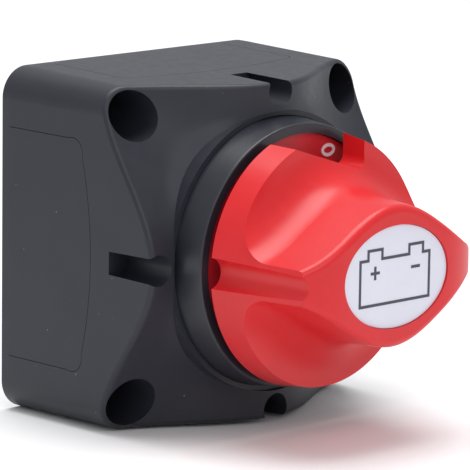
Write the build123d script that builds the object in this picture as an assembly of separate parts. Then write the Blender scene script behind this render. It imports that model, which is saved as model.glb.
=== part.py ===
from build123d import *
from math import atan, ceil, cos, degrees, exp, hypot, log, pi, radians, sin, sqrt
import os

# Rotary battery switch, millimetres. Every piece is drawn lying on its back: X to the right, Y up the
# face, Z forward from the mounting plane. place() then turns it upright, so that the front faces -Y.

# ---- driving dimensions ------------------------------------------------------------------------
BODY_WIDTH = 69.0            # square housing, measured at the back
BODY_CORNER = 6.0            # radius of its upright edges
DRAFT = 1.35                 # taper of the side walls, degrees
WALL = 2.5                   # moulded wall of the housing
CREST = 43.3                 # height of the housing front at the middle of each side
CORNER_DROP = 14.5           # how far the front falls towards the corners
FOOT_FLARE = 1.6             # reach of the flare where the front meets the pedestal
RIM_ROUND = 1.0              # edge between the front and the side walls
FRONT_STEP = 1.2             # spacing of the points that shape the front

COVER_THICKNESS = 2.2        # rear cover
COVER_LIP = 2.6              # height of the lip that locates it
LIP_WALL = 1.5

HOLE_SPACING = 56.5          # mounting screws, both ways
SCREW_HOLE_RADIUS = 2.6
HEAD_HOLE_RADIUS = 4.9
HEAD_HOLE_FLOOR = 12.0
PILLAR_WALL = 1.0

PANEL_HALF_WIDTH = 23.1      # cable-entry panels
PANEL_SHOULDER = 19.3        # where their straight sides end
PANEL_CORNER_X = 19.5
PANEL_CORNER_Z = 23.4
PANEL_CREST = 25.9           # highest point of their bowed front edge
PANEL_TONGUE = 1.2           # overlap of the inner tongue
PANEL_TONGUE_WALL = 1.0
PANEL_TONGUE_HALF = 17.0
PANEL_ROOT = 3.0             # height of the root that joins tongue and plate
PANEL_CORNER_BOW = 0.45      # of the rounded upper corners
PANEL_CORNER_SHARE = 0.035   # how far along towards the crest their middle lies

NOTCH_RADIUS = 3.1           # ganging notch in the middle of each side
NOTCH_OFFSET = 31.7
NOTCH_FLOOR = 31.05
NOTCH_WALL = 1.6

PEDESTAL_RADIUS = 27.93
PEDESTAL_TOP = 42.3
COLLAR_RADIUS = 26.8         # switch body, where it leaves the pedestal
COLLAR_RIM_RADIUS = 26.1
COLLAR_RIM = 48.8
CUP_CAVITY_RADIUS = 24.0
CUP_ROOF = 43.6              # inside face of the front wall
DIAL_RADIUS = 24.0
DIAL_SEAT = 46.2
DIAL_THICKNESS = 1.5
DIAL_HOLE_RADIUS = 6.7
MARK_THICKNESS = 0.12
MARK_CIRCLE = 21.7
MARK_ANGLE = 66.5            # of the figure that shows at off
FIGURE_HALF_HEIGHT = 1.85
FIGURE_HALF_WIDTH = 1.3
FIGURE_STROKE = 0.66
FLAG_REACH = 1.05            # of the figure 1, left of its middle
RIM_EDGE = 0.4
FLANGE_REAR = 25.4
FLANGE_FRONT = 28.0
FLANGE_RADIUS = 29.5
EAR_RADIUS = 3.5
BASE_THICKNESS = 3.6

STUD_SPACING = 29.0          # M10 terminal studs
STUD_RADIUS = 5.0
STUD_END = 6.5
STUD_HEAD_RADIUS = 8.0
STUD_HEAD = 3.2
TIP_RADIUS = 4.0
TIP_THICKNESS = 1.0
NUT_ACROSS_FLATS = 17.0
NUT_HEIGHT = 8.0
NUT_BEVEL = 0.9
STUD_POINT = 0.8
TIP_BEVEL = 0.3
WASHER_RADIUS = 10.0
WASHER_THICKNESS = 2.0
SPRING_WASHER_RADIUS = 9.0
SPRING_WASHER_THICKNESS = 2.5
SPRING_WASHER_SLIT = 1.0
BARRIER_WALL = 2.0           # wall between the two terminals
BARRIER_HEIGHT = 9.0
BARRIER_LENGTH = 42.9

BASE_SCREW_RADIUS = 1.25
BASE_SCREW_CIRCLE = 22.0
BASE_SCREW_LENGTH = 11.0
BASE_SCREW_HEAD = 1.6
BASE_BOSS_RADIUS = 2.6
BODY_SCREW_RADIUS = 1.5
BODY_SCREW_CIRCLE = 30.2
BODY_SCREW_LENGTH = 8.6
BODY_SCREW_HEAD = 1.8
HEAD_OVERHANG = 1.15         # how far a screw head stands out past its shank
RECESS_LENGTH = 1.2          # cross recess, in head radii
RECESS_WIDTH = 0.3
RECESS_DEPTH = 0.5           # in head heights

SHAFT_RADIUS = 6.0
SHAFT_SQUARE = 8.0
SHAFT_EDGE = 0.6
CARRIER_RADIUS = 19.0
BAR_LENGTH = 36.0            # moving contact
BAR_WIDTH = 11.0
BAR_THICKNESS = 3.0
CONTACT_GAP = 0.2            # moving contact to contact tips
BAR_FLOAT = 0.4              # bar to carrier, the travel of the contact springs
BAR_EDGE = 2.0
CHEEK_WALL = 2.8
CHEEK_LENGTH = 27.0
CHEEK_SETBACK = 0.6          # cheeks behind the rear face of the bar
CARRIER_WEB = 0.7            # carrier wall behind the shaft
SPRING_OFFSET = 11.0
SPRING_RADIUS = 2.0
SPRING_WIRE = 0.4
SPRING_LENGTH = 5.4
SPRING_TURNS = 4.5
BALL_RADIUS = 2.5
BALL_CIRCLE = 13.0
BALL_ENTRY = 1.0             # how far a detent ball enters its groove
THRUST_GAP = 0.4
NECK_RADIUS = 9.0
NECK_DROP = 1.7
SEAL_WIRE = 0.8
TURN_ANGLE = 90.0            # from off to on
STOP_HALF_ANGLE = 7.0
STOP_GAP = 0.6               # stop lug to the wall of the cup

KNOB_REAR = 51.0
KNOB_RADIUS = 25.5           # at its rear edge
KNOB_TAPER = 0.13            # loss of radius per millimetre forward
KNOB_LEDGE = 56.9            # level floor of the two finger scoops
KNOB_FRONT = 75.8
SCOOP_RADIUS = 8.0           # cove between the floor and the handle
HANDLE_HALF_WIDTH = 13.8     # at the middle of its front
HANDLE_TIP_HALF = 1.5        # what its flanks narrow to
HANDLE_REACH = 29.5          # half-length over which they narrow
HANDLE_DRAFT = 0.072         # growth of the half-width per millimetre backward
HANDLE_FLAT = 13.0           # half-length of the level front
HANDLE_FALL_RADIUS = 18.3    # of the front from there to the tips
RIDGE_ROUND = 1.5
HANDLE_STATIONS = 35         # points along each flank
BLANK_HALF = 27.0            # half-side of the block that the knob is turned from
SKIRT_WALL = 2.0
SKIRT_DEPTH = 3.5
HUB_RADIUS = 9.0
HUB_REAR = 48.2
CORE_LENGTH = 7.0            # two pockets behind the handle, which keep its walls even
CORE_WIDTH = 6.4
CORE_CORNER = 2.0
CORE_DEPTH = 16.9
CORE_OFFSET = 13.5
WINDOW_CORNER = (9.5, 16.8)      # window notch, where its floor would meet its end wall
WINDOW_FLOOR_ANGLE = 161.5
WINDOW_WALL_ANGLE = 90.0
WINDOW_ROUND = 2.0
GROOVE_RADIUS = 3.1
GROOVE_DEPTH = 2.6
GROOVE_TAPER = 0.06
LABEL_HALF_LENGTH = 13.98
LABEL_HALF_WIDTH = 9.96
LABEL_RECESS = 0.9
LABEL_THICKNESS = 0.4
PRINT_THICKNESS = 0.08
PRINT_LINE = 0.55
KNOB_SCREW_RADIUS = 2.5
KNOB_SCREW_HEAD_RADIUS = 4.4
KNOB_SCREW_HEAD = 3.2
KNOB_SCREW_LENGTH = 11.0
KNOB_SCREW_KEY = 4.0         # across the flats of its hexagon socket
KNOB_WEB = 2.0
SHAFT_FRONT = 60.0

END_GAP = 0.1                # shoulders and blind ends that must not touch
HEAD_GAP = 0.4               # screw head to its counterbore
SEAM = 0.12                  # visible seam round a panel and the cover lip
SLIP_FIT = 0.1               # round pieces that seat in each other
RUNNING_FIT = 0.05           # rotor shaft in its neck
THREAD_FIT = 0.02
SQUARE_FIT = 0.06
BALL_FIT = 0.15
FAR = 100.0
SURFACE_TOLERANCE = 0.001

# ---- derived dimensions ------------------------------------------------------------------------
HALF = BODY_WIDTH / 2
TAPER_RATE = sin(radians(DRAFT)) / cos(radians(DRAFT))
PILLAR_RADIUS = HEAD_HOLE_RADIUS + PILLAR_WALL
DRUM_BORE = COLLAR_RADIUS + SLIP_FIT
BASE_REAR = FLANGE_REAR - BASE_THICKNESS
TIP_REAR = FLANGE_REAR + STUD_HEAD
BAR_REAR = TIP_REAR + TIP_THICKNESS + CONTACT_GAP
CARRIER_REAR = BAR_REAR + BAR_THICKNESS + BAR_FLOAT
BALL_CENTRE = CUP_ROOF + BALL_ENTRY - BALL_RADIUS
BALL_SEAT = BALL_CENTRE - sqrt((BALL_RADIUS + SPRING_WIRE) ** 2 - SPRING_RADIUS ** 2) + SPRING_WIRE - 0.02
POCKET_FLOOR = BALL_SEAT - SPRING_LENGTH
NECK_REAR = CUP_ROOF - NECK_DROP
CARRIER_FRONT = NECK_REAR - THRUST_GAP
DIAL_FRONT = DIAL_SEAT + DIAL_THICKNESS
SHAFT_SOCKET = SHAFT_SQUARE + 2 * SQUARE_FIT
SEAL_RADIUS = SHAFT_RADIUS + RUNNING_FIT + SEAL_WIRE
LABEL_FLOOR = KNOB_FRONT - LABEL_RECESS
LABEL_FRONT = LABEL_FLOOR + LABEL_THICKNESS
SCREW_SEAT = SHAFT_FRONT + KNOB_WEB
STUDS = (("left", -STUD_SPACING / 2), ("right", STUD_SPACING / 2))
CORNERS = [(sx * HOLE_SPACING / 2, sy * HOLE_SPACING / 2) for sx in (-1, 1) for sy in (-1, 1)]
SIDES = (("top", 0), ("left", 90), ("bottom", 180), ("right", 270))


def on_circle(radius, angle):
    """Point at an angle on a circle about the switch axis."""
    return (radius * cos(radians(angle)), radius * sin(radians(angle)))


BASE_SCREWS = [on_circle(BASE_SCREW_CIRCLE, angle) for angle in (60, 120, 240, 300)]
BODY_SCREWS = [on_circle(BODY_SCREW_CIRCLE, angle) for angle in (45, 135, 225, 315)]


# ---- helpers -----------------------------------------------------------------------------------
def rod(radius, low, high, at=(0, 0)):
    """Cylinder along the switch axis between two heights."""
    return Pos(at[0], at[1], (low + high) / 2) * Cylinder(radius, high - low)


def taper_rod(low_radius, high_radius, low, high):
    """Cone frustum along the switch axis between two heights."""
    return Pos(0, 0, (low + high) / 2) * Cone(low_radius, high_radius, high - low)


def ring(outer, inner, low, high, at=(0, 0)):
    """Tube along the switch axis between two heights."""
    return rod(outer, low, high, at) - rod(inner, low - 1, high + 1, at)


def prism(outline, low, high):
    """Flat outline on the XY plane, raised between two heights."""
    return Pos(0, 0, low) * extrude(outline, high - low)


def block(size_x, size_y, low, high, at=(0, 0)):
    """Rectangular block between two heights."""
    return Pos(at[0], at[1], (low + high) / 2) * Box(size_x, size_y, high - low)


def soft_floor(value, blend):
    """The value where it is positive, else 0, with the corner between the two rounded."""
    share = value / blend
    return value if share > 30 else blend * log(1 + exp(share))


def curved_cutter(height, reach, step):
    """Everything in front of the surface z = height(x, y), out to a square of half-side reach."""
    steps = ceil(2 * reach / step)
    lines = [-reach + 2 * reach * i / steps for i in range(steps + 1)]
    grid = [[(x, y, height(x, y)) for x in lines] for y in lines]
    face = Face.make_surface_from_array_of_points(grid, tol=SURFACE_TOLERANCE, max_deg=3)
    return Solid.extrude(face, Vector(0, 0, FAR))


def place(piece):
    """Turn a piece that lies on its back upright, front towards -Y."""
    return Rot(90, 0, 0) * piece


def save(name, piece):
    """Write one named piece, upright, to its STEP file."""
    solids = piece.solids()
    shape = solids[0] if len(solids) == 1 else Compound(list(solids))
    export_step(place(shape), f"parts/{name}.step")


# ---- housing -----------------------------------------------------------------------------------
def front_height(x, y):
    """Height of the housing front: crests at the sides' middles, low corners, flare at the pedestal."""
    bare = CREST - CORNER_DROP * (sin(pi * x / BODY_WIDTH) * sin(pi * y / BODY_WIDTH)) ** 2
    wall = soft_floor(PEDESTAL_TOP - bare, 0.4)
    outside = (hypot(x, y) - PEDESTAL_RADIUS) / FOOT_FLARE + 1
    return bare + wall / 2 * exp(-outside ** 2 / 2)


def tapered_square(inset, low, high):
    """Block with the housing's draft, its walls inset from the outside of the housing."""
    half = HALF - inset - TAPER_RATE * (low - COVER_THICKNESS)
    outline = RectangleRounded(2 * half, 2 * half, max(BODY_CORNER - inset, 1.0))
    return Pos(0, 0, low) * extrude(outline, high - low, taper=DRAFT)


def panel_outline(grow, half_limit=FAR):
    """Side view of a cable-entry panel, X along the wall and Y forward, grown outwards all round."""
    side = PANEL_HALF_WIDTH + grow
    corner = (PANEL_CORNER_X + grow * sqrt(0.5), PANEL_CORNER_Z + grow * sqrt(0.5))
    middle = (side + (PANEL_CORNER_X - side) * PANEL_CORNER_SHARE,
              (PANEL_SHOULDER + corner[1]) / 2 + PANEL_CORNER_BOW)
    edges = [
        Line((-side, COVER_THICKNESS - 1), (-side, PANEL_SHOULDER)),
        ThreePointArc((-side, PANEL_SHOULDER), (-middle[0], middle[1]), (-corner[0], corner[1])),
        ThreePointArc((-corner[0], corner[1]), (0, PANEL_CREST + grow), corner),
        ThreePointArc(corner, middle, (side, PANEL_SHOULDER)),
        Line((side, PANEL_SHOULDER), (side, COVER_THICKNESS - 1)),
        Line((side, COVER_THICKNESS - 1), (-side, COVER_THICKNESS - 1)),
    ]
    outline = make_face(Wire(edges))
    keep = Pos(0, HALF) * Rectangle(2 * half_limit, BODY_WIDTH * 2)
    return outline & keep


def through_wall(outline, inner, outer):
    """Outline in side view, raised through the top wall between two distances from the axis."""
    return Pos(0, outer, 0) * Rot(90, 0, 0) * extrude(outline, outer - inner)


def wall_shell():
    """The drafted side walls alone, from the rear cover to the top of the panels."""
    top = PANEL_CREST + 2 * PANEL_TONGUE
    low = COVER_THICKNESS
    return tapered_square(0, low, top) - tapered_square(WALL, low, top)


def side_panel():
    """Snap-in panel of the top wall, with a tongue behind the wall at its front edge."""
    plate = wall_shell() & through_wall(panel_outline(-SEAM), HALF - 3 * WALL, HALF + 1)
    low, high = COVER_THICKNESS, PANEL_CREST + PANEL_TONGUE
    behind = tapered_square(WALL + SEAM / 2, low, high) - tapered_square(WALL + PANEL_TONGUE_WALL, low, high)
    tongue_outline = panel_outline(PANEL_TONGUE, PANEL_TONGUE_HALF)
    strip = Pos(0, PANEL_CORNER_Z) * Rectangle(FAR, 2 * (PANEL_CREST - PANEL_CORNER_Z + PANEL_TONGUE))
    tongue = behind & through_wall(tongue_outline & strip, HALF - 3 * WALL, HALF)
    root_strip = Pos(0, PANEL_CORNER_Z - 1) * Rectangle(2 * PANEL_TONGUE_HALF, PANEL_ROOT)
    behind_root = tapered_square(WALL - SEAM, low, high) - tapered_square(WALL + PANEL_TONGUE_WALL, low, high)
    root = behind_root & through_wall(root_strip, HALF - 3 * WALL, HALF)
    return plate + tongue + root


def housing():
    """Square moulding: drafted walls, curved front, pedestal, corner pillars and ganging notches."""
    top = CREST + FOOT_FLARE
    above = curved_cutter(front_height, HALF + 3, FRONT_STEP)
    body = tapered_square(0, COVER_THICKNESS, top) - above
    rim = body.edges().filter_by(GeomType.BSPLINE).filter_by(lambda e: e.center().Z > PANEL_CREST)
    body = fillet(rim, RIM_ROUND)
    body += rod(PEDESTAL_RADIUS, FLANGE_FRONT, PEDESTAL_TOP)
    body -= rod(PEDESTAL_RADIUS, PEDESTAL_TOP, FAR)

    cavity = tapered_square(WALL, COVER_THICKNESS - 1, top) - Pos(0, 0, -WALL) * above
    cavity -= rod(DRUM_BORE + WALL, FLANGE_FRONT, FAR)
    for at in CORNERS:
        cavity -= rod(PILLAR_RADIUS, 0, FAR, at)
    for at in BODY_SCREWS:
        cavity -= rod(EAR_RADIUS, FLANGE_FRONT, FAR, at)
    notch_places = [on_circle(NOTCH_OFFSET, angle) for angle in (0, 90, 180, 270)]
    for at in notch_places:
        cavity -= rod(NOTCH_RADIUS + NOTCH_WALL, NOTCH_FLOOR - NOTCH_WALL, FAR, at)
    body -= cavity

    body -= rod(DRUM_BORE, FLANGE_FRONT - 1, FAR)
    for at in CORNERS:
        body -= rod(SCREW_HOLE_RADIUS, 0, FAR, at)
        body -= rod(HEAD_HOLE_RADIUS, HEAD_HOLE_FLOOR, FAR, at)
    for at in notch_places:
        body -= rod(NOTCH_RADIUS, NOTCH_FLOOR, FAR, at)
    for at in BODY_SCREWS:
        body -= rod(BODY_SCREW_RADIUS + THREAD_FIT, FLANGE_FRONT - 1,
                    FLANGE_REAR + BODY_SCREW_LENGTH + 3 * END_GAP, at)
    for _, angle in SIDES:
        body -= Rot(0, 0, angle) * through_wall(panel_outline(0), HALF - 3 * WALL, HALF + 1)
    return body


def rear_cover():
    """Flat insulating cover with a locating lip that stops short of the pillars."""
    plate = prism(RectangleRounded(BODY_WIDTH, BODY_WIDTH, BODY_CORNER), 0, COVER_THICKNESS)
    low, high = COVER_THICKNESS, COVER_THICKNESS + COVER_LIP
    half = HALF - WALL - SEAM - TAPER_RATE * COVER_LIP
    lip = block(2 * half, 2 * half, low - 0.5, high)
    lip -= block(2 * (half - LIP_WALL), 2 * (half - LIP_WALL), low - 1, high + 1)
    for at in CORNERS:
        lip -= rod(PILLAR_RADIUS + 2 * SEAM, 0, FAR, at)
    cover = plate + lip
    for at in CORNERS:
        cover -= rod(SCREW_HOLE_RADIUS, -1, FAR, at)
    return cover


# ---- switch body -------------------------------------------------------------------------------
def detent_track(start):
    """Quarter groove for one ball, cut from the roof, with a flat pocket at each end."""
    radius = BALL_RADIUS + BALL_FIT
    section = Plane.XZ * Pos(BALL_CIRCLE, BALL_CENTRE) * Circle(radius)
    track = Rot(0, 0, start - TURN_ANGLE) * revolve(section, Axis.Z, TURN_ANGLE)
    ends = [on_circle(BALL_CIRCLE, angle) for angle in (start, start - TURN_ANGLE)]
    return [track] + [rod(radius, CUP_ROOF - 1, BALL_CENTRE + radius + SLIP_FIT, at) for at in ends]


def switch_body():
    """Round black body: flange and ears behind, conical collar in front, a neck for the shaft."""
    cup = rod(COLLAR_RADIUS, FLANGE_REAR, PEDESTAL_TOP)
    cup += taper_rod(COLLAR_RADIUS, COLLAR_RIM_RADIUS, PEDESTAL_TOP, COLLAR_RIM)
    cup += rod(FLANGE_RADIUS, FLANGE_REAR, FLANGE_FRONT)
    for at in BODY_SCREWS:
        cup += rod(EAR_RADIUS, FLANGE_REAR, FLANGE_FRONT, at)
    cavity = rod(CUP_CAVITY_RADIUS, FLANGE_REAR - 1, CUP_ROOF)
    cavity -= rod(NECK_RADIUS, NECK_REAR, FAR)
    for at in BASE_SCREWS:
        cavity -= rod(BASE_BOSS_RADIUS, 0, FAR, at)
    cup -= cavity
    cup -= rod(DIAL_RADIUS + SLIP_FIT, DIAL_SEAT, FAR)
    cup -= rod(SHAFT_RADIUS + RUNNING_FIT, 0, FAR)
    cup -= rod(SEAL_RADIUS + SEAL_WIRE + RUNNING_FIT, DIAL_SEAT - 2.2 * SEAL_WIRE, FAR)
    for start in (0, 180):
        for cutter in detent_track(start):
            cup -= cutter
    for at in BASE_SCREWS:
        blind_end = BASE_REAR + BASE_SCREW_LENGTH + 5 * END_GAP
        cup -= rod(BASE_SCREW_RADIUS + THREAD_FIT, FLANGE_REAR - 1, blind_end, at)
    for at in BODY_SCREWS:
        cup -= rod(BODY_SCREW_RADIUS + SLIP_FIT, 0, FAR, at)
    rim = cup.edges().filter_by(GeomType.CIRCLE).filter_by(lambda e: abs(e.center().Z - COLLAR_RIM) < 0.01)
    return fillet(rim.sort_by(lambda e: -e.radius)[0:1], RIM_EDGE)


def shaft_seal():
    """O-ring round the shaft, behind the dial."""
    height = DIAL_SEAT - 1.1 * SEAL_WIRE
    return Pos(0, 0, height) * Torus(SEAL_RADIUS, SEAL_WIRE)


def dial_plate():
    """Red dial let into the front of the switch body."""
    return ring(DIAL_RADIUS, DIAL_HOLE_RADIUS, DIAL_SEAT, DIAL_FRONT)


def numeral(kind):
    """Plain figure 0 or 1, its top towards +Y."""
    if kind == "0":
        hole = Ellipse(FIGURE_HALF_WIDTH - FIGURE_STROKE, FIGURE_HALF_HEIGHT - FIGURE_STROKE)
        return Ellipse(FIGURE_HALF_WIDTH, FIGURE_HALF_HEIGHT) - hole
    edge, top = -FIGURE_STROKE / 2, FIGURE_HALF_HEIGHT
    low = top - FIGURE_STROKE
    flag = [(edge, top), (-FLAG_REACH, low)]
    flag += [(-FLAG_REACH + FIGURE_STROKE / 2, low - FIGURE_STROKE / 2), (edge, low)]
    return Rectangle(FIGURE_STROKE, 2 * FIGURE_HALF_HEIGHT) + make_face(Polyline(*flag, close=True))


def dial_marks():
    """Figure 0 shows in the window at off, figure 1 a quarter turn on."""
    marks = []
    for kind, turn in (("0", 0), ("1", -TURN_ANGLE)):
        x, y = on_circle(MARK_CIRCLE, MARK_ANGLE + turn)
        outline = Pos(x, y) * Rot(0, 0, turn - 90) * numeral(kind)
        marks.append(prism(outline, DIAL_FRONT, DIAL_FRONT + MARK_THICKNESS))
    return Compound([solid for mark in marks for solid in mark.solids()])


def base_plate():
    """Insulating disc with the stud holes and a barrier between the terminals."""
    plate = rod(COLLAR_RADIUS, BASE_REAR, FLANGE_REAR)
    plate += block(BARRIER_WALL, BARRIER_LENGTH, BASE_REAR - BARRIER_HEIGHT, BASE_REAR + 1)
    for _, x in STUDS:
        plate -= rod(STUD_RADIUS + SLIP_FIT, 0, FAR, (x, 0))
    for at in BASE_SCREWS:
        plate -= rod(BASE_SCREW_RADIUS + SLIP_FIT, 0, FAR, at)
    return plate


def screw(radius, head_radius, seat, length, head, at):
    """Pan-head screw entering forward from its seat, with a cross recess."""
    body = rod(radius, seat, seat + length, at) + rod(head_radius, seat - head, seat, at)
    length, width = head_radius * RECESS_LENGTH, head_radius * RECESS_WIDTH
    low, high = seat - head - 1, seat - head * (1 - RECESS_DEPTH)
    return body - block(length, width, low, high, at) - block(width, length, low, high, at)


def screw_set(places, radius, seat, length, head):
    """The same screw at several places."""
    screws = [screw(radius, radius + HEAD_OVERHANG, seat, length, head, at) for at in places]
    return Compound([solid for item in screws for solid in item.solids()])


# ---- terminals ---------------------------------------------------------------------------------
def terminal_stud(x):
    """Threaded stud with a round contact head inside the switch body."""
    stud = rod(STUD_RADIUS, STUD_END, FLANGE_REAR, (x, 0))
    tip = stud.edges().filter_by(lambda e: abs(e.center().Z - STUD_END) < 0.01)
    return chamfer(tip, STUD_POINT) + rod(STUD_HEAD_RADIUS, FLANGE_REAR, TIP_REAR, (x, 0))


def fixed_contact(x):
    """Silver contact tip on the head of a stud."""
    tip = rod(TIP_RADIUS, TIP_REAR, TIP_REAR + TIP_THICKNESS, (x, 0))
    edge = tip.edges().filter_by(lambda e: abs(e.center().Z - TIP_REAR - TIP_THICKNESS) < 0.01)
    return chamfer(edge, TIP_BEVEL)


def stud_stack(make):
    """The same piece on both studs."""
    return Compound([solid for _, x in STUDS for solid in make(x).solids()])


def flat_washer(x):
    """Washer that bears on the cable lug."""
    return ring(WASHER_RADIUS, STUD_RADIUS + SLIP_FIT, BASE_REAR - WASHER_THICKNESS, BASE_REAR, (x, 0))


def spring_washer(x):
    """Split ring."""
    high = BASE_REAR - WASHER_THICKNESS
    low = high - SPRING_WASHER_THICKNESS
    whole = ring(SPRING_WASHER_RADIUS, STUD_RADIUS + SLIP_FIT, low, high, (x, 0))
    slit_at = (x, SPRING_WASHER_RADIUS / 2 + 1)
    slit = block(SPRING_WASHER_SLIT, SPRING_WASHER_RADIUS, low - 1, high + 1, slit_at)
    return whole - slit


def terminal_nut(x):
    """Hexagon nut, bevelled at both faces."""
    high = BASE_REAR - WASHER_THICKNESS - SPRING_WASHER_THICKNESS
    low = high - NUT_HEIGHT
    nut = prism(Pos(x, 0) * RegularPolygon(NUT_ACROSS_FLATS / 2, 6, major_radius=False), low, high)
    narrow = NUT_ACROSS_FLATS / sqrt(3) - NUT_BEVEL
    middle = Pos(x, 0, (low + high) / 2)
    bevel = middle * Cone(narrow, narrow + NUT_HEIGHT, NUT_HEIGHT)
    bevel_back = middle * Cone(narrow + NUT_HEIGHT, narrow, NUT_HEIGHT)
    return (nut & bevel & bevel_back) - rod(STUD_RADIUS + THREAD_FIT, 0, FAR, (x, 0))


# ---- rotor -------------------------------------------------------------------------------------
def rotor_shaft():
    """Round in the neck, square in the carrier and in the knob, tapped for the knob screw."""
    square = RectangleRounded(SHAFT_SQUARE, SHAFT_SQUARE, SHAFT_EDGE)
    shaft = prism(square, CARRIER_REAR + CARRIER_WEB + END_GAP, SHAFT_FRONT)
    shaft += rod(SHAFT_RADIUS, CARRIER_FRONT + END_GAP, HUB_REAR - END_GAP)
    shaft -= rod(KNOB_SCREW_RADIUS + THREAD_FIT, SCREW_SEAT - KNOB_SCREW_LENGTH - 1, FAR)
    return shaft


def contact_carrier():
    """Insulating rotor: cheeks for the bar behind, ball pockets in front, stop lug at the rim."""
    rotor = rod(CARRIER_RADIUS, CARRIER_REAR, CARRIER_FRONT)
    inner_half = BAR_WIDTH / 2 + SLIP_FIT
    for side in (-1, 1):
        rotor += block(CHEEK_WALL, CHEEK_LENGTH, BAR_REAR + CHEEK_SETBACK, CARRIER_REAR + 1,
                       (side * (inner_half + CHEEK_WALL / 2), 0))
    middle = TURN_ANGLE / 2
    reach = CUP_CAVITY_RADIUS - STOP_GAP
    corners = [on_circle(reach, middle + side * STOP_HALF_ANGLE) for side in (-1, 1)]
    lug = make_face(Polyline((0, 0), *corners, close=True))
    rotor += prism(lug, CARRIER_REAR + 1, CARRIER_FRONT - 1)
    rotor -= block(SHAFT_SOCKET, SHAFT_SOCKET, CARRIER_REAR + CARRIER_WEB, FAR)
    for side in (-1, 1):
        rotor -= rod(SPRING_RADIUS + SPRING_WIRE + 3 * END_GAP, 0, BAR_REAR + BAR_THICKNESS + SPRING_LENGTH,
                     (0, side * SPRING_OFFSET))
        rotor -= rod(BALL_RADIUS + SLIP_FIT, POCKET_FLOOR, FAR, (side * BALL_CIRCLE, 0))
    return rotor


def moving_contact():
    """Copper bridge bar with rounded ends."""
    bar = block(BAR_WIDTH, BAR_LENGTH, BAR_REAR, BAR_REAR + BAR_THICKNESS)
    return fillet(bar.edges().filter_by(Axis.Z), BAR_EDGE)


def coil_spring(low, high, at):
    """Compression spring: round wire on a helix, with a closed flat turn at each end."""
    rise = high - low - 2 * SPRING_WIRE
    path = Helix(rise / SPRING_TURNS, rise, SPRING_RADIUS)
    start = Plane(origin=path @ 0, z_dir=path % 0)
    wire = sweep(start * Circle(SPRING_WIRE), path, is_frenet=True)
    for end in (0, rise):
        wire += Pos(0, 0, end) * Torus(SPRING_RADIUS, SPRING_WIRE)
    return Pos(at[0], at[1], low + SPRING_WIRE) * wire


def contact_springs():
    """Two springs that press the moving contact home."""
    low = BAR_REAR + BAR_THICKNESS
    springs = [coil_spring(low, low + SPRING_LENGTH, (0, side * SPRING_OFFSET)) for side in (-1, 1)]
    return Compound([solid for spring in springs for solid in spring.solids()])


def detent_springs():
    """Springs that bear on the balls along a small circle."""
    springs = [coil_spring(POCKET_FLOOR, BALL_SEAT, (side * BALL_CIRCLE, 0)) for side in (-1, 1)]
    return Compound([solid for spring in springs for solid in spring.solids()])


def detent_balls():
    """Two balls that click into the end pockets."""
    return Compound([solid for side in (-1, 1) for solid in
                     (Pos(side * BALL_CIRCLE, 0, BALL_CENTRE) * Sphere(BALL_RADIUS)).solids()])


# ---- knob --------------------------------------------------------------------------------------
def handle_half_width(x):
    """Half-width of the handle's front along its length."""
    share = cos(pi * min(abs(x), HANDLE_REACH) / (2 * HANDLE_REACH)) ** 2
    return HANDLE_TIP_HALF + (HANDLE_HALF_WIDTH - HANDLE_TIP_HALF) * share


def handle_section(z):
    """Lens-shaped outline of the handle at one height, running on past the knob at both ends."""
    grow = HANDLE_DRAFT * (KNOB_FRONT - z)
    reach = HANDLE_REACH + 4
    stations = [reach * (2 * i / (HANDLE_STATIONS - 1) - 1) for i in range(HANDLE_STATIONS)]
    upper = [(x, handle_half_width(x) + grow) for x in stations]
    lower = [(x, -y) for x, y in reversed(upper)]
    flanks = [Spline(*upper, tangents=((1, 0), (1, 0))), Spline(*lower, tangents=((-1, 0), (-1, 0)))]
    ends = [Line(upper[-1], lower[0]), Line(lower[-1], upper[0])]
    return Pos(0, 0, z) * make_face(Wire([flanks[0], ends[0], flanks[1], ends[1]]))


def handle_face():
    """Cutter above the handle's front: level in the middle, falling on an arc to each tip."""
    end = BLANK_HALF + 1
    low = KNOB_FRONT - HANDLE_FALL_RADIUS + sqrt(HANDLE_FALL_RADIUS ** 2 - (end - HANDLE_FLAT) ** 2)
    high = KNOB_FRONT + FAR
    edges = [
        Line((-HANDLE_FLAT, KNOB_FRONT), (HANDLE_FLAT, KNOB_FRONT)),
        RadiusArc((HANDLE_FLAT, KNOB_FRONT), (end, low), HANDLE_FALL_RADIUS),
        Line((end, low), (end, high)),
        Line((end, high), (-end, high)),
        Line((-end, high), (-end, low)),
        RadiusArc((-end, low), (-HANDLE_FLAT, KNOB_FRONT), HANDLE_FALL_RADIUS),
    ]
    return Pos(0, FAR / 2, 0) * Rot(90, 0, 0) * extrude(make_face(Wire(edges)), FAR)


def knob_blank():
    """Square block with the handle across it, coved into the floor on both sides."""
    blank = block(2 * BLANK_HALF, 2 * BLANK_HALF, KNOB_REAR, FAR)
    handle = loft([handle_section(KNOB_LEDGE - 1), handle_section(KNOB_FRONT + 1)], ruled=True)
    body = (handle & blank) - handle_face() + block(2 * BLANK_HALF, 2 * BLANK_HALF, KNOB_REAR, KNOB_LEDGE)
    feet = body.edges().filter_by(lambda e: abs(e.center().Z - KNOB_LEDGE) < 0.01)
    body = fillet(feet.filter_by(GeomType.BSPLINE), SCOOP_RADIUS)
    ridges = body.edges().filter_by(lambda e: e.center().Z > KNOB_LEDGE + SCOOP_RADIUS + 1)
    return fillet(ridges.filter_by(GeomType.BSPLINE), RIDGE_ROUND)


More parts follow.
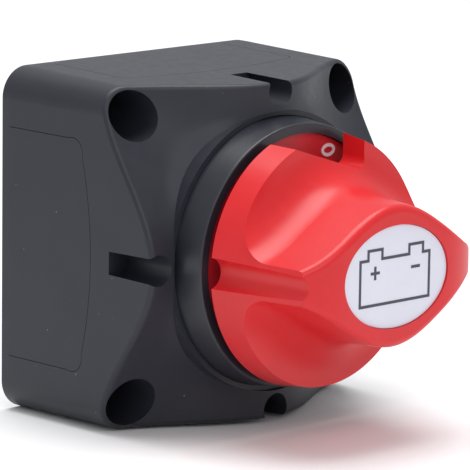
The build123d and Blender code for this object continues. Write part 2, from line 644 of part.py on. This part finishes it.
def window_notch(grow=0.0):
    """Prism that cuts the window through the skirt: a straight floor rounded into one end wall."""
    floor, wall = WINDOW_FLOOR_ANGLE, WINDOW_WALL_ANGLE
    corner = Vector(*WINDOW_CORNER) - Vector(*on_circle(grow, wall)) - Vector(*on_circle(grow, floor))
    along = corner + Vector(*on_circle(2 * KNOB_RADIUS, floor))
    up = corner + Vector(*on_circle(KNOB_RADIUS, wall))
    outline = make_face(Polyline(*[(v.X, v.Y) for v in (corner, along, along + up - corner, up)], close=True))
    return prism(fillet(outline.vertices().sort_by_distance(corner)[0:1], WINDOW_ROUND), 0, FAR)


def pointer_groove():
    """Round groove down the left end of the handle, a little shallower towards the front."""
    bottom = KNOB_RADIUS - GROOVE_DEPTH
    lean = degrees(atan(GROOVE_TAPER))
    return Pos(-bottom - GROOVE_RADIUS, 0, KNOB_REAR) * Rot(0, lean, 0) * Cylinder(GROOVE_RADIUS, 2 * FAR)


def knob():
    """Conical knob with a lens-shaped handle, hollow behind, keyed and screwed to the shaft."""
    front_radius = KNOB_RADIUS - KNOB_TAPER * (KNOB_FRONT + 2 - KNOB_REAR)
    body = knob_blank() & taper_rod(KNOB_RADIUS, front_radius, KNOB_REAR, KNOB_FRONT + 2)
    body -= pointer_groove()
    body -= window_notch()
    hollow = rod(KNOB_RADIUS - SKIRT_WALL, KNOB_REAR - 1, KNOB_REAR + SKIRT_DEPTH)
    hollow -= window_notch(SKIRT_WALL)
    hollow -= rod(GROOVE_DEPTH + 2 * SKIRT_WALL, 0, FAR, (-KNOB_RADIUS, 0))
    hollow -= rod(HUB_RADIUS, 0, FAR)
    body -= hollow
    for side in (-1, 1):
        core = RectangleRounded(CORE_LENGTH, CORE_WIDTH, CORE_CORNER)
        body -= Pos(side * CORE_OFFSET, 0, 0) * prism(core, KNOB_REAR - 1, KNOB_REAR + CORE_DEPTH)
    body += rod(HUB_RADIUS, HUB_REAR, KNOB_REAR + 1)
    body -= block(SHAFT_SOCKET, SHAFT_SOCKET, 0, SHAFT_FRONT + END_GAP)
    body -= rod(KNOB_SCREW_RADIUS + SLIP_FIT, 0, FAR)
    body -= rod(KNOB_SCREW_HEAD_RADIUS + HEAD_GAP, SCREW_SEAT, FAR)
    body -= prism(Ellipse(LABEL_HALF_LENGTH + SLIP_FIT, LABEL_HALF_WIDTH + SLIP_FIT), LABEL_FLOOR, FAR)
    return body


def knob_screw():
    """Cap screw under the label, pointing back into the shaft."""
    head = rod(KNOB_SCREW_HEAD_RADIUS, SCREW_SEAT, SCREW_SEAT + KNOB_SCREW_HEAD)
    socket = prism(RegularPolygon(KNOB_SCREW_KEY / 2, 6, major_radius=False), SCREW_SEAT + 1, FAR)
    return head - socket + rod(KNOB_SCREW_RADIUS, SCREW_SEAT - KNOB_SCREW_LENGTH, SCREW_SEAT)


def symbol_label():
    """Oval label let into the front of the handle."""
    return prism(Ellipse(LABEL_HALF_LENGTH, LABEL_HALF_WIDTH), LABEL_FLOOR, LABEL_FRONT)


def battery_outline(inset):
    """Battery symbol: a box with two terminals on top, drawn in from its outside by inset."""
    half, low, high = 9.64, -5.18, 4.18
    first, wide, tall, last = 2.1, 4.3, 1.85, 1.8
    left, right = -half + first, half - last
    points = [
        (-half + inset, low + inset), (half - inset, low + inset), (half - inset, high - inset),
        (right - inset, high - inset), (right - inset, high + tall - inset),
        (right - wide + inset, high + tall - inset), (right - wide + inset, high - inset),
        (left + wide - inset, high - inset), (left + wide - inset, high + tall - inset),
        (left + inset, high + tall - inset), (left + inset, high - inset), (-half + inset, high - inset),
    ]
    return make_face(Polyline(*points, close=True))


def label_print():
    """Battery symbol with its plus and minus, printed on the label."""
    shift = Pos(-0.2, 0)
    frame = shift * (battery_outline(0) - battery_outline(PRINT_LINE))
    plus = Pos(-5.55, 1.27) * (Rectangle(2.4, PRINT_LINE) + Rectangle(PRINT_LINE, 2.6))
    minus = Pos(5.41, 1.32) * Rectangle(2.4, PRINT_LINE)
    shapes = [prism(item, LABEL_FRONT, LABEL_FRONT + PRINT_THICKNESS) for item in (frame, plus, minus)]
    return Compound([solid for shape in shapes for solid in shape.solids()])


# ---- the assembly ------------------------------------------------------------------------------
os.makedirs("parts", exist_ok=True)

save("housing", housing())
save("rear_cover", rear_cover())
for side_name, side_angle in SIDES:
    save(f"side_panel_{side_name}", Rot(0, 0, side_angle) * side_panel())

save("switch_body", switch_body())
save("shaft_seal", shaft_seal())
save("dial_plate", dial_plate())
save("dial_marks", dial_marks())
save("base_plate", base_plate())
save("base_screws", screw_set(BASE_SCREWS, BASE_SCREW_RADIUS, BASE_REAR, BASE_SCREW_LENGTH, BASE_SCREW_HEAD))
save("body_screws", screw_set(BODY_SCREWS, BODY_SCREW_RADIUS, FLANGE_REAR, BODY_SCREW_LENGTH,
                              BODY_SCREW_HEAD))

for stud_name, stud_x in STUDS:
    save(f"terminal_stud_{stud_name}", terminal_stud(stud_x))
    save(f"fixed_contact_{stud_name}", fixed_contact(stud_x))
save("flat_washers", stud_stack(flat_washer))
save("spring_washers", stud_stack(spring_washer))
save("terminal_nuts", stud_stack(terminal_nut))

save("rotor_shaft", rotor_shaft())
save("contact_carrier", contact_carrier())
save("moving_contact", moving_contact())
save("contact_springs", contact_springs())
save("detent_balls", detent_balls())
save("detent_springs", detent_springs())
save("knob", knob())
save("knob_screw", knob_screw())
save("symbol_label", symbol_label())
save("label_print", label_print())
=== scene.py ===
"""The look of a rotary battery switch: black enclosure, red handle knob, printed label and metalwork."""

from __future__ import annotations

import logging
from dataclasses import dataclass, field
from enum import Enum
from math import cos, radians, sin
from typing import Any

import bpy
from mathutils import Matrix, Vector


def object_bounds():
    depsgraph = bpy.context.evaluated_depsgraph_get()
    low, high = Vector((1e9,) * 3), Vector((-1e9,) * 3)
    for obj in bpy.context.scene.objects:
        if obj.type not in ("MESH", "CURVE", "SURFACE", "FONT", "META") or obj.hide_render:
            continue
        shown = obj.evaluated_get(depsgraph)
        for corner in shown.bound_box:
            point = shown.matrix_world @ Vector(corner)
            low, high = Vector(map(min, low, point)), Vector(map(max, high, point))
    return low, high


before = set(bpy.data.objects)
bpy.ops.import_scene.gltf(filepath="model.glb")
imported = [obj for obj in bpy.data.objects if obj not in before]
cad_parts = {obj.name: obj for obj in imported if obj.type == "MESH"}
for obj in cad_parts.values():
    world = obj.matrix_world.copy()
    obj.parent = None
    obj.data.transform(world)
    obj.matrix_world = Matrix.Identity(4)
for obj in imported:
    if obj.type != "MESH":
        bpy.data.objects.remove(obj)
CAD_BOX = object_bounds()

log = logging.getLogger("battery_switch")
MM = 0.001
Triple = tuple[float, float, float]
Colour = Triple


# ---- shader building ---------------------------------------------------------------------------
class Operation(Enum):
    """What a Math node does."""

    ADD = "ADD"
    SUBTRACT = "SUBTRACT"
    MULTIPLY = "MULTIPLY"


class Signal:
    """A shader socket that can be used in arithmetic."""

    def __init__(self, graph: Graph, socket: bpy.types.NodeSocket) -> None:
        """Wrap a socket.

        Args:
            graph: the graph that owns the socket.
            socket: the output that is wrapped.
        """
        self.graph = graph
        self.socket = socket

    def _math(self, operation: Operation, first: Any, second: Any) -> Signal:
        """Add one Math node.

        Args:
            operation: what the node does.
            first: its first input, a number or a signal.
            second: its second input.

        Returns:
            The node's output.
        """
        settings = {"operation": operation.value}
        node = self.graph.node("ShaderNodeMath", settings, {0: first, 1: second})
        return Signal(self.graph, node.outputs[0])

    def __add__(self, other: Any) -> Signal:
        """Sum."""
        return self._math(Operation.ADD, self, other)

    __radd__ = __add__

    def __sub__(self, other: Any) -> Signal:
        """Difference."""
        return self._math(Operation.SUBTRACT, self, other)

    def __rsub__(self, other: Any) -> Signal:
        """Difference, reflected."""
        return self._math(Operation.SUBTRACT, other, self)

    def __mul__(self, other: Any) -> Signal:
        """Product."""
        return self._math(Operation.MULTIPLY, self, other)

    __rmul__ = __mul__

    def above(self, limit: float, soft: float) -> Signal:
        """Turn the signal into a mask.

        Args:
            limit: where the mask starts to rise from 0.
            soft: how far on it reaches 1.

        Returns:
            The mask.
        """
        settings = {"interpolation_type": "SMOOTHSTEP"}
        inputs = {"Value": self, "From Min": limit, "From Max": limit + soft}
        return Signal(self.graph, self.graph.node("ShaderNodeMapRange", settings, inputs).outputs[0])


class Graph:
    """The node tree of one material, ending in a Principled shader."""

    def __init__(self, name: str) -> None:
        """Start a material.

        Args:
            name: the material's name.
        """
        self.material = bpy.data.materials.new(name)
        self.material.use_nodes = True
        self.tree = self.material.node_tree
        self.tree.nodes.clear()
        self.shader = self.node("ShaderNodeBsdfPrincipled")
        self.node("ShaderNodeOutputMaterial", inputs={"Surface": self.shader.outputs[0]})
        self.place = self.node("ShaderNodeTexCoord").outputs["Object"]

    def node(
        self, kind: str, settings: dict[str, Any] | None = None, inputs: dict[Any, Any] | None = None
    ) -> bpy.types.Node:
        """Add one node.

        Args:
            kind: the node's type.
            settings: its properties, set before its inputs.
            inputs: values, signals or sockets for its inputs, by name or number.

        Returns:
            The node.
        """
        node = self.tree.nodes.new(kind)
        for key, value in (settings or {}).items():
            setattr(node, key, value)
        for key, value in (inputs or {}).items():
            self.feed(node.inputs[key], value)
        return node

    def feed(self, socket: bpy.types.NodeSocket, value: Any) -> None:
        """Link or set one input.

        Args:
            socket: the input.
            value: a signal, a socket, a number, a vector or a colour.
        """
        if isinstance(value, Signal):
            self.tree.links.new(value.socket, socket)
        elif isinstance(value, bpy.types.NodeSocket):
            self.tree.links.new(value, socket)
        elif isinstance(value, tuple) and len(value) == 3 and socket.type == "RGBA":
            socket.default_value = (*value, 1.0)
        else:
            socket.default_value = value

    def noise(self, size: float, detail: float = 3.0, roughness: float = 0.5) -> Signal:
        """Add noise with features of about one size.

        Args:
            size: feature size in metres.
            detail: octaves.
            roughness: weight of the finer octaves.

        Returns:
            The noise, from 0 to 1.
        """
        inputs = {"Vector": self.place, "Scale": 1 / size, "Detail": detail, "Roughness": roughness}
        return Signal(self, self.node("ShaderNodeTexNoise", inputs=inputs).outputs["Fac"])

    def specks(self, spacing: float, share: float, edge: float = 0.6) -> Signal:
        """Add sparse round specks.

        Args:
            spacing: distance between specks in metres.
            share: speck radius as a share of the spacing.
            edge: width of the soft edge as a share of the radius.

        Returns:
            A mask that is 1 on the specks.
        """
        inputs = {"Vector": self.place, "Scale": 1 / spacing, "Randomness": 1.0}
        cell = self.node("ShaderNodeTexVoronoi", {"feature": "F1"}, inputs)
        return 1 - Signal(self, cell.outputs["Distance"]).above(share, share * edge)

    def blend(self, mask: Signal, first: Any, second: Any) -> bpy.types.NodeSocket:
        """Mix two colours.

        Args:
            mask: 0 for the first colour, 1 for the second.
            first: a colour or a colour socket.
            second: a colour or a colour socket.

        Returns:
            The mixed colour.
        """
        settings = {"data_type": "RGBA"}
        return self.node("ShaderNodeMix", settings, {0: mask, 6: first, 7: second}).outputs[2]

    def bump(self, height: Signal, depth: float) -> bpy.types.NodeSocket:
        """Turn a height into a normal.

        Args:
            height: height from 0 to 1.
            depth: what a height of 1 stands for, in metres.

        Returns:
            The normal.
        """
        inputs = {"Height": height, "Distance": depth, "Strength": 1.0}
        return self.node("ShaderNodeBump", inputs=inputs).outputs[0]

    def surface(self, **inputs: Any) -> bpy.types.Material:
        """Feed the Principled shader.

        Args:
            **inputs: its inputs, with _ for each space in their names.

        Returns:
            The finished material.
        """
        for key, value in inputs.items():
            self.feed(self.shader.inputs[key.replace("_", " ")], value)
        return self.material


# ---- finishes ----------------------------------------------------------------------------------
@dataclass(frozen=True)
class Moulding:
    """Moulded plastic: slight colour drift, fine grain and uneven gloss."""

    name: str
    colour: Colour
    drift: Colour
    roughness: float = 0.4
    roughness_spread: float = 0.12
    grain_size: float = 0.35 * MM
    grain_depth: float = 0.012 * MM
    specular: float = 0.5
    dust: float = 0.0
    dust_colour: Colour = (0.5, 0.5, 0.52)
    dust_spacing: float = 2.6 * MM
    dust_share: float = 0.045
    dust_patch: float = 6 * MM
    cloud_size: float = 9 * MM
    flow_size: float = 2.2 * MM

    def material(self) -> bpy.types.Material:
        """Build the material."""
        graph = Graph(self.name)
        cloud = graph.noise(self.cloud_size, 3.0)
        grain = graph.noise(self.grain_size, 2.0, 0.6)
        flow = graph.noise(self.flow_size, 4.0, 0.6)
        tone = graph.blend((0.6 * cloud + 0.4 * flow).above(0.35, 0.3), self.colour, self.drift)
        if self.dust:
            patches = graph.noise(self.dust_patch, 1.0).above(0.5, 0.08)
            mask = graph.specks(self.dust_spacing, self.dust_share) * patches * self.dust
            tone = graph.blend(mask, tone, self.dust_colour)
        spread = (flow - 0.5) * (2 * self.roughness_spread) + (grain - 0.5) * self.roughness_spread
        return graph.surface(
            Base_Color=tone,
            Roughness=spread + self.roughness,
            Normal=graph.bump(grain * 0.7 + flow * 0.3, self.grain_depth),
            Specular_IOR_Level=self.specular,
        )


@dataclass(frozen=True)
class Metal:
    """Plated or bare metal with fine turning lines and stains."""

    name: str
    colour: Colour
    stain: Colour
    roughness: float = 0.3
    line_size: float = 0.9 * MM
    line_stretch: float = 14.0
    line_depth: float = 0.008 * MM
    stain_size: float = 3 * MM

    def material(self) -> bpy.types.Material:
        """Build the material."""
        graph = Graph(self.name)
        scale = {"Vector": graph.place, "Scale": (1.0, self.line_stretch, 1.0)}
        stretched = graph.node("ShaderNodeMapping", inputs=scale).outputs[0]
        inputs = {"Vector": stretched, "Scale": 1 / self.line_size, "Detail": 3.0}
        lines = Signal(graph, graph.node("ShaderNodeTexNoise", inputs=inputs).outputs["Fac"])
        cloud = graph.noise(self.stain_size, 4.0, 0.6)
        return graph.surface(
            Base_Color=graph.blend(cloud.above(0.5, 0.25), self.colour, self.stain),
            Metallic=1.0,
            Roughness=(cloud - 0.5) * 0.3 + lines * 0.1 + self.roughness,
            Normal=graph.bump(lines, self.line_depth),
        )


@dataclass(frozen=True)
class Ink:
    """Printed ink with slightly uneven cover."""

    name: str
    colour: Colour
    thin: Colour
    roughness: float = 0.45
    cover_size: float = 0.25 * MM
    cover_depth: float = 0.004 * MM

    def material(self) -> bpy.types.Material:
        """Build the material."""
        graph = Graph(self.name)
        cover = graph.noise(self.cover_size, 3.0, 0.65)
        return graph.surface(
            Base_Color=graph.blend(cover.above(0.55, 0.25), self.colour, self.thin),
            Roughness=(cover - 0.5) * 0.2 + self.roughness,
            Normal=graph.bump(cover, self.cover_depth),
        )


HOUSING_BLACK = Moulding(
    "housing_black",
    (0.0170, 0.0182, 0.0260),
    (0.0195, 0.0208, 0.0295),
    roughness=0.42,
    roughness_spread=0.08,
    specular=0.36,
    dust=0.3,
)
BODY_BLACK = Moulding(
    "body_black",
    (0.0145, 0.0155, 0.0225),
    (0.0165, 0.0175, 0.0250),
    roughness=0.36,
    roughness_spread=0.06,
    grain_size=0.3 * MM,
)
KNOB_RED = Moulding(
    "knob_red",
    (0.60, 0.013, 0.017),
    (0.63, 0.015, 0.019),
    roughness=0.33,
    roughness_spread=0.03,
    grain_size=0.5 * MM,
    grain_depth=0.0015 * MM,
    specular=0.38,
)
DIAL_RED = Moulding(
    "dial_red", (0.50, 0.014, 0.024), (0.56, 0.018, 0.028), roughness=0.38, roughness_spread=0.08
)
LABEL_WHITE = Moulding(
    "label_white",
    (0.66, 0.66, 0.75),
    (0.68, 0.68, 0.77),
    roughness=0.34,
    roughness_spread=0.05,
    grain_size=0.2 * MM,
    grain_depth=0.003 * MM,
)
INSULATOR = Moulding(
    "insulator", (0.02, 0.02, 0.021), (0.028, 0.028, 0.028), roughness=0.5, grain_size=0.5 * MM
)
RUBBER = Moulding(
    "seal_rubber", (0.012, 0.012, 0.012), (0.018, 0.018, 0.018), roughness=0.6, roughness_spread=0.1
)
COPPER = Metal("copper", (0.74, 0.52, 0.42), (0.62, 0.40, 0.30), 0.28)
SILVER = Metal("silver_contact", (0.82, 0.81, 0.78), (0.70, 0.69, 0.66), 0.25)
ZINC = Metal("zinc_steel", (0.60, 0.61, 0.62), (0.52, 0.53, 0.55), 0.32)
SPRING = Metal("spring_steel", (0.48, 0.48, 0.49), (0.40, 0.40, 0.41), 0.26)
PRINT_DARK = Ink("print_dark", (0.045, 0.045, 0.065), (0.06, 0.06, 0.08))
PRINT_WHITE = Ink("print_white", (0.78, 0.74, 0.76), (0.70, 0.60, 0.62))


def dress(names: list[str], material: bpy.types.Material) -> None:
    """Give CAD nodes a finish.

    Args:
        names: the nodes.
        material: the finish.
    """
    for name in names:
        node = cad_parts[name]
        node.data.materials.clear()
        node.data.materials.append(material)
        log.info("dressed %s in %s", name, material.name)


# ---- the switch --------------------------------------------------------------------------------
@dataclass
class Enclosure:
    """Housing, its four cable-entry panels and the rear cover."""

    sides: tuple[str, ...] = ("top", "left", "bottom", "right")

    def build(self) -> None:
        """Dress the pieces of the enclosure."""
        panels = [f"side_panel_{side}" for side in self.sides]
        dress(["housing", "rear_cover", *panels], HOUSING_BLACK.material())


@dataclass
class SwitchBody:
    """Round body with its collar, dial, seal, terminals and fastenings."""

    hands: tuple[str, ...] = ("left", "right")

    def build(self) -> None:
        """Dress the pieces of the switch body."""
        dress(["switch_body"], BODY_BLACK.material())
        dress(["dial_plate"], DIAL_RED.material())
        dress(["dial_marks"], PRINT_WHITE.material())
        dress(["base_plate"], INSULATOR.material())
        dress(["shaft_seal"], RUBBER.material())
        fastenings = ["base_screws", "body_screws", "flat_washers", "spring_washers", "terminal_nuts"]
        dress(fastenings, ZINC.material())
        dress([f"terminal_stud_{hand}" for hand in self.hands], COPPER.material())
        dress([f"fixed_contact_{hand}" for hand in self.hands], SILVER.material())


@dataclass
class Rotor:
    """What turns inside the switch body."""

    def build(self) -> None:
        """Dress the pieces of the rotor."""
        dress(["contact_carrier"], INSULATOR.material())
        dress(["moving_contact"], COPPER.material())
        dress(["rotor_shaft", "knob_screw"], ZINC.material())
        dress(["contact_springs", "detent_springs", "detent_balls"], SPRING.material())


@dataclass
class Knob:
    """Red handle knob with its label."""

    def build(self) -> None:
        """Dress the knob and its label."""
        dress(["knob"], KNOB_RED.material())
        dress(["symbol_label"], LABEL_WHITE.material())
        dress(["label_print"], PRINT_DARK.material())


# ---- the studio --------------------------------------------------------------------------------
@dataclass(frozen=True)
class SoftBox:
    """Square area light, in metres and watts."""

    name: str
    place: Triple
    size: float
    power: float

    def build(self, target: Vector) -> None:
        """Add the light.

        Args:
            target: the point it is aimed at.
        """
        light = bpy.data.lights.new(self.name, "AREA")
        light.shape = "SQUARE"
        light.size = self.size
        light.energy = self.power
        holder = bpy.data.objects.new(self.name, light)
        holder.location = self.place
        holder.rotation_euler = (Vector(self.place) - target).to_track_quat("Z", "Y").to_euler()
        bpy.context.scene.collection.objects.link(holder)


@dataclass
class Studio:
    """Pale floor, soft lights and the camera."""

    azimuth: float = -43.557
    elevation: float = 10.89
    roll: float = 0.826
    distance: float = 801.4 * MM
    target: Vector = field(default_factory=lambda: Vector((0.516, -30.17, 1.22)) * MM)
    lens: float = 308.87
    sensor: float = 36.0
    near_clip: float = 0.01
    floor_half: float = 3.0
    floor_tones: tuple[Colour, Colour] = ((0.86, 0.86, 0.87), (0.88, 0.88, 0.88))
    floor_cloud: float = 200 * MM
    surroundings: float = 0.66
    surroundings_tone: Colour = (0.97, 0.98, 1.0)
    lights: tuple[SoftBox, ...] = (
        SoftBox("key", (-0.35, -0.75, 0.55), 0.5, 1.5),
        SoftBox("top", (0.05, 0.05, 0.9), 0.7, 8.5),
    )

    def build(self) -> None:
        """Set up the camera, the floor and the lights."""
        self._camera()
        self._floor()
        self._lights()

    def _camera(self) -> None:
        """Place the camera on its orbit round the target."""
        turn, lift = radians(self.azimuth), radians(self.elevation)
        back = Vector((sin(turn) * cos(lift), -cos(turn) * cos(lift), sin(lift)))
        side = Vector((cos(turn), sin(turn), 0.0))
        up = back.cross(side)
        axes = Matrix((side, up, back)).transposed() @ Matrix.Rotation(radians(self.roll), 3, "Z")
        camera = bpy.data.cameras.new("camera")
        camera.lens = self.lens
        camera.sensor_width = self.sensor
        camera.clip_start = self.near_clip
        holder = bpy.data.objects.new("camera", camera)
        holder.matrix_world = Matrix.Translation(self.target + back * self.distance) @ axes.to_4x4()
        bpy.context.scene.collection.objects.link(holder)
        bpy.context.scene.camera = holder

    def _floor(self) -> None:
        """Lay the pale floor under the switch."""
        level = CAD_BOX[0][2]
        half = self.floor_half
        mesh = bpy.data.meshes.new("floor")
        corners = [(-half, -half, level), (half, -half, level), (half, half, level), (-half, half, level)]
        mesh.from_pydata(corners, [], [(0, 1, 2, 3)])
        floor = bpy.data.objects.new("floor", mesh)
        bpy.context.scene.collection.objects.link(floor)
        graph = Graph("floor_pale")
        tone = graph.blend(graph.noise(self.floor_cloud, 2.0), *self.floor_tones)
        mesh.materials.append(graph.surface(Base_Color=tone, Roughness=0.9))

    def _lights(self) -> None:
        """Light the switch from bright surroundings and the soft boxes."""
        scene = bpy.context.scene
        world = bpy.data.worlds.new("studio")
        world.use_nodes = True
        background = world.node_tree.nodes["Background"]
        background.inputs[0].default_value = (*self.surroundings_tone, 1.0)
        background.inputs[1].default_value = self.surroundings
        scene.world = world
        scene.view_settings.view_transform = "Standard"
        for light in self.lights:
            light.build(self.target)


def main() -> None:
    """Build the switch and its studio."""
    logging.basicConfig(level=logging.INFO)
    for part in (Enclosure(), SwitchBody(), Rotor(), Knob(), Studio()):
        log.info("building %s", type(part).__name__)
        part.build()


if __name__ == "__main__":
    main()
